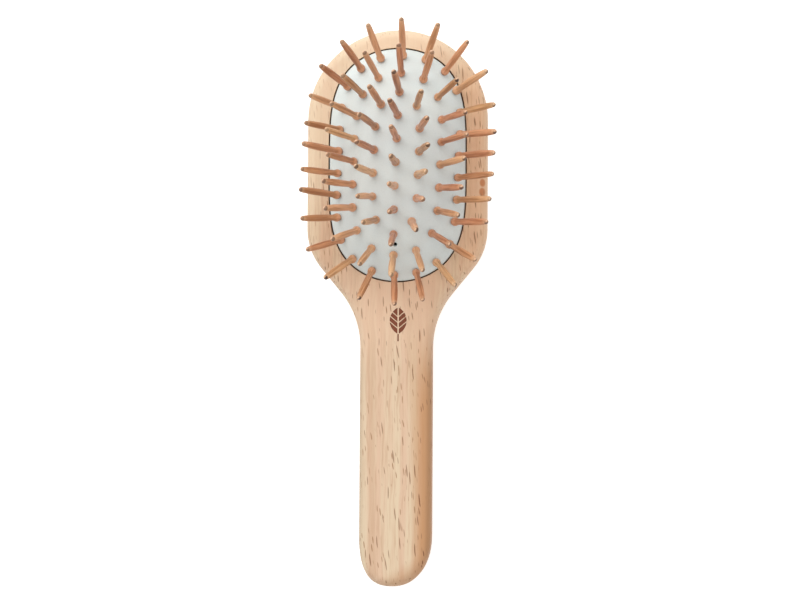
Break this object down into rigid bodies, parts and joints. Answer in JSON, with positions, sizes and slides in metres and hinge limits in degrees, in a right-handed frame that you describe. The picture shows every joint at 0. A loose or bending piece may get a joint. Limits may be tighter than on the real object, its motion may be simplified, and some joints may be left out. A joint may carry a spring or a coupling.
{
  "type": "cushion hairbrush",
  "caption": "Wooden paddle hairbrush with an oval domed rubber cushion and turned wooden pins that lean and sink in use.",
  "frame": {"origin": "on the flat back of the wood, under the middle of the cushion", "axes": "+Z out of the cushion along the pins, +Y from the handle towards the head's crown, +X across the head"},
  "size_m": [0.0698, 0.2022, 0.0477],
  "materials": {
    "beech_body": "sanded and lightly oiled beech with short dark flecks along the grain",
    "pin_wood": "polished, turned along the grain, darker at the tip",
    "cushion_rubber": "satin pale grey rubber",
    "ring_plastic": "plain moulded dark brown"
  },
  "bodies": {
    "root": {"brush_body": "beech_body", "cushion_ring": "ring_plastic"},
    "cushion": {"cushion": "cushion_rubber"},
    "pin_centre_1": {"pin_centre_1": "pin_wood"},
    "pin_centre_2": {"pin_centre_2": "pin_wood"},
    "pin_centre_3": {"pin_centre_3": "pin_wood"},
    "pin_centre_4": {"pin_centre_4": "pin_wood"},
    "pin_centre_5": {"pin_centre_5": "pin_wood"},
    "pin_inner_01": {"pin_inner_01": "pin_wood"},
    "pin_inner_02": {"pin_inner_02": "pin_wood"},
    "pin_inner_03": {"pin_inner_03": "pin_wood"},
    "pin_inner_04": {"pin_inner_04": "pin_wood"},
    "pin_inner_05": {"pin_inner_05": "pin_wood"},
    "pin_inner_06": {"pin_inner_06": "pin_wood"},
    "pin_inner_07": {"pin_inner_07": "pin_wood"},
    "pin_inner_08": {"pin_inner_08": "pin_wood"},
    "pin_inner_09": {"pin_inner_09": "pin_wood"},
    "pin_inner_10": {"pin_inner_10": "pin_wood"},
    "pin_inner_11": {"pin_inner_11": "pin_wood"},
    "pin_inner_12": {"pin_inner_12": "pin_wood"},
    "pin_inner_13": {"pin_inner_13": "pin_wood"},
    "pin_inner_14": {"pin_inner_14": "pin_wood"},
    "pin_middle_04": {"pin_middle_04": "pin_wood"},
    "pin_middle_05": {"pin_middle_05": "pin_wood"},
    "pin_middle_06": {"pin_middle_06": "pin_wood"},
    "pin_middle_07": {"pin_middle_07": "pin_wood"},
    "pin_middle_08": {"pin_middle_08": "pin_wood"},
    "pin_middle_09": {"pin_middle_09": "pin_wood"},
    "pin_middle_13": {"pin_middle_13": "pin_wood"},
    "pin_middle_14": {"pin_middle_14": "pin_wood"},
    "pin_middle_15": {"pin_middle_15": "pin_wood"},
    "pin_middle_16": {"pin_middle_16": "pin_wood"},
    "pin_middle_17": {"pin_middle_17": "pin_wood"},
    "pin_middle_18": {"pin_middle_18": "pin_wood"},
    "pin_outer_04": {"pin_outer_04": "pin_wood"},
    "pin_outer_05": {"pin_outer_05": "pin_wood"},
    "pin_outer_06": {"pin_outer_06": "pin_wood"},
    "pin_outer_07": {"pin_outer_07": "pin_wood"},
    "pin_outer_08": {"pin_outer_08": "pin_wood"},
    "pin_outer_09": {"pin_outer_09": "pin_wood"},
    "pin_outer_10": {"pin_outer_10": "pin_wood"},
    "pin_outer_11": {"pin_outer_11": "pin_wood"},
    "pin_outer_12": {"pin_outer_12": "pin_wood"},
    "pin_outer_16": {"pin_outer_16": "pin_wood"},
    "pin_outer_17": {"pin_outer_17": "pin_wood"},
    "pin_outer_18": {"pin_outer_18": "pin_wood"},
    "pin_outer_19": {"pin_outer_19": "pin_wood"},
    "pin_outer_20": {"pin_outer_20": "pin_wood"},
    "pin_outer_21": {"pin_outer_21": "pin_wood"},
    "pin_outer_22": {"pin_outer_22": "pin_wood"},
    "pin_outer_23": {"pin_outer_23": "pin_wood"},
    "pin_outer_24": {"pin_outer_24": "pin_wood"},
    "pin_pair_crown_1": {"pin_pair_crown_1": "pin_wood"},
    "pin_pair_crown_2": {"pin_pair_crown_2": "pin_wood"},
    "pin_pair_crown_3": {"pin_pair_crown_3": "pin_wood"},
    "pin_pair_crown_4": {"pin_pair_crown_4": "pin_wood"},
    "pin_pair_crown_5": {"pin_pair_crown_5": "pin_wood"},
    "pin_pair_handle_1": {"pin_pair_handle_1": "pin_wood"},
    "pin_pair_handle_2": {"pin_pair_handle_2": "pin_wood"},
    "pin_pair_handle_3": {"pin_pair_handle_3": "pin_wood"}
  },
  "joints": [
    {"name": "cushion_press", "type": "slide", "parent": "root", "child": "cushion", "axis": [0, 0, 1], "range_m": [-0.002, 0], "stiffness_N_per_m": 6000, "deforming": ["cushion"]},
    {"name": "lean_centre_1", "type": "hinge", "parent": "cushion", "child": "pin_centre_1", "pos_m": [0.00145, 0.01584, 0.02654], "axis": [0, 1, 0], "range_deg": [-12, 12], "stiffness_Nm_per_rad": 0.02},
    {"name": "lean_centre_2", "type": "hinge", "parent": "cushion", "child": "pin_centre_2", "pos_m": [0.00109, 0.0076, 0.02746], "axis": [0, 1, 0], "range_deg": [-12, 12], "stiffness_Nm_per_rad": 0.02},
    {"name": "lean_centre_3", "type": "hinge", "parent": "cushion", "child": "pin_centre_3", "pos_m": [0.00075, -0.00061, 0.02769], "axis": [0, 1, 0], "range_deg": [-12, 12], "stiffness_Nm_per_rad": 0.02},
    {"name": "lean_centre_4", "type": "hinge", "parent": "cushion", "child": "pin_centre_4", "pos_m": [0.00045, -0.00885, 0.02738], "axis": [0, 1, 0], "range_deg": [-12, 12], "stiffness_Nm_per_rad": 0.02},
    {"name": "lean_centre_5", "type": "hinge", "parent": "cushion", "child": "pin_centre_5", "pos_m": [0.00011, -0.01708, 0.02635], "axis": [0, 1, 0], "range_deg": [-12, 12], "stiffness_Nm_per_rad": 0.02},
    {"name": "lean_inner_01", "type": "hinge", "parent": "cushion", "child": "pin_inner_01", "pos_m": [0.00173, 0.02416, 0.02462], "axis": [0, 1, 0], "range_deg": [-12, 12], "stiffness_Nm_per_rad": 0.02},
    {"name": "lean_inner_02", "type": "hinge", "parent": "cushion", "child": "pin_inner_02", "pos_m": [0.00756, 0.01937, 0.0251], "axis": [0, 1, 0], "range_deg": [-12, 12], "stiffness_Nm_per_rad": 0.02},
    {"name": "lean_inner_03", "type": "hinge", "parent": "cushion", "child": "pin_inner_03", "pos_m": [0.00862, 0.01134, 0.02605], "axis": [0, 1, 0], "range_deg": [-12, 12], "stiffness_Nm_per_rad": 0.02},
    {"name": "lean_inner_04", "type": "hinge", "parent": "cushion", "child": "pin_inner_04", "pos_m": [0.00839, 0.00318, 0.02656], "axis": [0, 1, 0], "range_deg": [-12, 12], "stiffness_Nm_per_rad": 0.02},
    {"name": "lean_inner_05", "type": "hinge", "parent": "cushion", "child": "pin_inner_05", "pos_m": [0.0081, -0.00498, 0.0266], "axis": [0, 1, 0], "range_deg": [-12, 12], "stiffness_Nm_per_rad": 0.02},
    {"name": "lean_inner_06", "type": "hinge", "parent": "cushion", "child": "pin_inner_06", "pos_m": [0.00769, -0.01311, 0.0261], "axis": [0, 1, 0], "range_deg": [-12, 12], "stiffness_Nm_per_rad": 0.02},
    {"name": "lean_inner_07", "type": "hinge", "parent": "cushion", "child": "pin_inner_07", "pos_m": [0.006, -0.02098, 0.02504], "axis": [0, 1, 0], "range_deg": [-12, 12], "stiffness_Nm_per_rad": 0.02},
    {"name": "lean_inner_08", "type": "hinge", "parent": "cushion", "child": "pin_inner_08", "pos_m": [-0.00024, -0.02536, 0.02427], "axis": [0, 1, 0], "range_deg": [-12, 12], "stiffness_Nm_per_rad": 0.02},
    {"name": "lean_inner_09", "type": "hinge", "parent": "cushion", "child": "pin_inner_09", "pos_m": [-0.00607, -0.0206, 0.02512], "axis": [0, 1, 0], "range_deg": [-12, 12], "stiffness_Nm_per_rad": 0.02},
    {"name": "lean_inner_10", "type": "hinge", "parent": "cushion", "child": "pin_inner_10", "pos_m": [-0.00714, -0.01255, 0.02629], "axis": [0, 1, 0], "range_deg": [-12, 12], "stiffness_Nm_per_rad": 0.02},
    {"name": "lean_inner_11", "type": "hinge", "parent": "cushion", "child": "pin_inner_11", "pos_m": [-0.00691, -0.00444, 0.0269], "axis": [0, 1, 0], "range_deg": [-12, 12], "stiffness_Nm_per_rad": 0.02},
    {"name": "lean_inner_12", "type": "hinge", "parent": "cushion", "child": "pin_inner_12", "pos_m": [-0.00658, 0.00375, 0.02699], "axis": [0, 1, 0], "range_deg": [-12, 12], "stiffness_Nm_per_rad": 0.02},
    {"name": "lean_inner_13", "type": "hinge", "parent": "cushion", "child": "pin_inner_13", "pos_m": [-0.00618, 0.01189, 0.02656], "axis": [0, 1, 0], "range_deg": [-12, 12], "stiffness_Nm_per_rad": 0.02},
    {"name": "lean_inner_14", "type": "hinge", "parent": "cushion", "child": "pin_inner_14", "pos_m": [-0.00452, 0.01979, 0.02553], "axis": [0, 1, 0], "range_deg": [-12, 12], "stiffness_Nm_per_rad": 0.02},
    {"name": "lean_middle_04", "type": "hinge", "parent": "cushion", "child": "pin_middle_04", "pos_m": [0.01548, 0.01494, 0.02264], "axis": [0, 1, 0], "range_deg": [-12, 12], "stiffness_Nm_per_rad": 0.02},
    {"name": "lean_middle_05", "type": "hinge", "parent": "cushion", "child": "pin_middle_05", "pos_m": [0.01538, 0.00685, 0.02331], "axis": [0, 1, 0], "range_deg": [-12, 12], "stiffness_Nm_per_rad": 0.02},
    {"name": "lean_middle_06", "type": "hinge", "parent": "cushion", "child": "pin_middle_06", "pos_m": [0.0151, -0.0012, 0.02361], "axis": [0, 1, 0], "range_deg": [-12, 12], "stiffness_Nm_per_rad": 0.02},
    {"name": "lean_middle_07", "type": "hinge", "parent": "cushion", "child": "pin_middle_07", "pos_m": [0.01481, -0.00918, 0.02356], "axis": [0, 1, 0], "range_deg": [-12, 12], "stiffness_Nm_per_rad": 0.02},
    {"name": "lean_middle_08", "type": "hinge", "parent": "cushion", "child": "pin_middle_08", "pos_m": [0.01429, -0.01716, 0.02302], "axis": [0, 1, 0], "range_deg": [-12, 12], "stiffness_Nm_per_rad": 0.02},
    {"name": "lean_middle_09", "type": "hinge", "parent": "cushion", "child": "pin_middle_09", "pos_m": [0.0124, -0.02487, 0.02209], "axis": [0, 1, 0], "range_deg": [-12, 12], "stiffness_Nm_per_rad": 0.02},
    {"name": "lean_middle_13", "type": "hinge", "parent": "cushion", "child": "pin_middle_13", "pos_m": [-0.01277, -0.02391, 0.02223], "axis": [0, 1, 0], "range_deg": [-12, 12], "stiffness_Nm_per_rad": 0.02},
    {"name": "lean_middle_14", "type": "hinge", "parent": "cushion", "child": "pin_middle_14", "pos_m": [-0.01405, -0.01611, 0.02332], "axis": [0, 1, 0], "range_deg": [-12, 12], "stiffness_Nm_per_rad": 0.02},
    {"name": "lean_middle_15", "type": "hinge", "parent": "cushion", "child": "pin_middle_15", "pos_m": [-0.01395, -0.00809, 0.02412], "axis": [0, 1, 0], "range_deg": [-12, 12], "stiffness_Nm_per_rad": 0.02},
    {"name": "lean_middle_16", "type": "hinge", "parent": "cushion", "child": "pin_middle_16", "pos_m": [-0.01369, -0.00007, 0.02445], "axis": [0, 1, 0], "range_deg": [-12, 12], "stiffness_Nm_per_rad": 0.02},
    {"name": "lean_middle_17", "type": "hinge", "parent": "cushion", "child": "pin_middle_17", "pos_m": [-0.01334, 0.00796, 0.02446], "axis": [0, 1, 0], "range_deg": [-12, 12], "stiffness_Nm_per_rad": 0.02},
    {"name": "lean_middle_18", "type": "hinge", "parent": "cushion", "child": "pin_middle_18", "pos_m": [-0.01285, 0.01598, 0.02394], "axis": [0, 1, 0], "range_deg": [-12, 12], "stiffness_Nm_per_rad": 0.02},
    {"name": "lean_outer_04", "type": "hinge", "parent": "cushion", "child": "pin_outer_04", "pos_m": [0.01998, 0.02562, 0.01668], "axis": [0, 1, 0], "range_deg": [-12, 12], "stiffness_Nm_per_rad": 0.02},
    {"name": "lean_outer_05", "type": "hinge", "parent": "cushion", "child": "pin_outer_05", "pos_m": [0.02115, 0.01809, 0.01736], "axis": [0, 1, 0], "range_deg": [-12, 12], "stiffness_Nm_per_rad": 0.02},
    {"name": "lean_outer_06", "type": "hinge", "parent": "cushion", "child": "pin_outer_06", "pos_m": [0.02115, 0.01035, 0.01808], "axis": [0, 1, 0], "range_deg": [-12, 12], "stiffness_Nm_per_rad": 0.02},
    {"name": "lean_outer_07", "type": "hinge", "parent": "cushion", "child": "pin_outer_07", "pos_m": [0.02088, 0.00252, 0.01855], "axis": [0, 1, 0], "range_deg": [-12, 12], "stiffness_Nm_per_rad": 0.02},
    {"name": "lean_outer_08", "type": "hinge", "parent": "cushion", "child": "pin_outer_08", "pos_m": [0.02058, -0.00531, 0.01886], "axis": [0, 1, 0], "range_deg": [-12, 12], "stiffness_Nm_per_rad": 0.02},
    {"name": "lean_outer_09", "type": "hinge", "parent": "cushion", "child": "pin_outer_09", "pos_m": [0.02028, -0.01308, 0.01886], "axis": [0, 1, 0], "range_deg": [-12, 12], "stiffness_Nm_per_rad": 0.02},
    {"name": "lean_outer_10", "type": "hinge", "parent": "cushion", "child": "pin_outer_10", "pos_m": [0.01968, -0.02086, 0.01834], "axis": [0, 1, 0], "range_deg": [-12, 12], "stiffness_Nm_per_rad": 0.02},
    {"name": "lean_outer_11", "type": "hinge", "parent": "cushion", "child": "pin_outer_11", "pos_m": [0.01796, -0.02821, 0.01744], "axis": [0, 1, 0], "range_deg": [-12, 12], "stiffness_Nm_per_rad": 0.02},
    {"name": "lean_outer_12", "type": "hinge", "parent": "cushion", "child": "pin_outer_12", "pos_m": [0.01358, -0.0344, 0.0169], "axis": [0, 1, 0], "range_deg": [-12, 12], "stiffness_Nm_per_rad": 0.02},
    {"name": "lean_outer_16", "type": "hinge", "parent": "cushion", "child": "pin_outer_16", "pos_m": [-0.01465, -0.03335, 0.01698], "axis": [0, 1, 0], "range_deg": [-12, 12], "stiffness_Nm_per_rad": 0.02},
    {"name": "lean_outer_17", "type": "hinge", "parent": "cushion", "child": "pin_outer_17", "pos_m": [-0.01853, -0.02686, 0.01754], "axis": [0, 1, 0], "range_deg": [-12, 12], "stiffness_Nm_per_rad": 0.02},
    {"name": "lean_outer_18", "type": "hinge", "parent": "cushion", "child": "pin_outer_18", "pos_m": [-0.01973, -0.01929, 0.01862], "axis": [0, 1, 0], "range_deg": [-12, 12], "stiffness_Nm_per_rad": 0.02},
    {"name": "lean_outer_19", "type": "hinge", "parent": "cushion", "child": "pin_outer_19", "pos_m": [-0.01973, -0.01157, 0.01954], "axis": [0, 1, 0], "range_deg": [-12, 12], "stiffness_Nm_per_rad": 0.02},
    {"name": "lean_outer_20", "type": "hinge", "parent": "cushion", "child": "pin_outer_20", "pos_m": [-0.01947, -0.00373, 0.02005], "axis": [0, 1, 0], "range_deg": [-12, 12], "stiffness_Nm_per_rad": 0.02},
    {"name": "lean_outer_21", "type": "hinge", "parent": "cushion", "child": "pin_outer_21", "pos_m": [-0.01918, 0.00404, 0.02033], "axis": [0, 1, 0], "range_deg": [-12, 12], "stiffness_Nm_per_rad": 0.02},
    {"name": "lean_outer_22", "type": "hinge", "parent": "cushion", "child": "pin_outer_22", "pos_m": [-0.01887, 0.01188, 0.02033], "axis": [0, 1, 0], "range_deg": [-12, 12], "stiffness_Nm_per_rad": 0.02},
    {"name": "lean_outer_23", "type": "hinge", "parent": "cushion", "child": "pin_outer_23", "pos_m": [-0.01829, 0.01959, 0.01985], "axis": [0, 1, 0], "range_deg": [-12, 12], "stiffness_Nm_per_rad": 0.02},
    {"name": "lean_outer_24", "type": "hinge", "parent": "cushion", "child": "pin_outer_24", "pos_m": [-0.01655, 0.02705, 0.019], "axis": [0, 1, 0], "range_deg": [-12, 12], "stiffness_Nm_per_rad": 0.02},
    {"name": "lean_pair_crown_1", "type": "hinge", "parent": "cushion", "child": "pin_pair_crown_1", "pos_m": [-0.01159, 0.02847, 0.02069], "axis": [-0.1121, 0.8938, -0.4343], "range_deg": [-12, 12], "stiffness_Nm_per_rad": 0.04},
    {"name": "lean_pair_crown_2", "type": "hinge", "parent": "cushion", "child": "pin_pair_crown_2", "pos_m": [-0.00552, 0.03303, 0.02028], "axis": [0.036, 0.8722, -0.4878], "range_deg": [-12, 12], "stiffness_Nm_per_rad": 0.04},
    {"name": "lean_pair_crown_3", "type": "hinge", "parent": "cushion", "child": "pin_pair_crown_3", "pos_m": [0.00208, 0.03424, 0.02002], "axis": [0.0336, 0.8539, -0.5194], "range_deg": [-12, 12], "stiffness_Nm_per_rad": 0.04},
    {"name": "lean_pair_crown_4", "type": "hinge", "parent": "cushion", "child": "pin_pair_crown_4", "pos_m": [0.00954, 0.0324, 0.01963], "axis": [0.0239, 0.8672, -0.4974], "range_deg": [-12, 12], "stiffness_Nm_per_rad": 0.04},
    {"name": "lean_pair_crown_5", "type": "hinge", "parent": "cushion", "child": "pin_pair_crown_5", "pos_m": [0.01517, 0.0274, 0.01934], "axis": [0.1749, 0.8666, -0.4674], "range_deg": [-12, 12], "stiffness_Nm_per_rad": 0.04},
    {"name": "lean_pair_handle_1", "type": "hinge", "parent": "cushion", "child": "pin_pair_handle_1", "pos_m": [0.00701, -0.03419, 0.01925], "axis": [0.0356, 0.8498, 0.526], "range_deg": [-12, 12], "stiffness_Nm_per_rad": 0.04},
    {"name": "lean_pair_handle_2", "type": "hinge", "parent": "cushion", "child": "pin_pair_handle_2", "pos_m": [-0.00065, -0.03544, 0.0193], "axis": [0.0372, 0.8325, 0.5528], "range_deg": [-12, 12], "stiffness_Nm_per_rad": 0.04},
    {"name": "lean_pair_handle_3", "type": "hinge", "parent": "cushion", "child": "pin_pair_handle_3", "pos_m": [-0.00813, -0.03363, 0.01932], "axis": [0.0266, 0.8501, 0.526], "range_deg": [-12, 12], "stiffness_Nm_per_rad": 0.04}
  ]
}
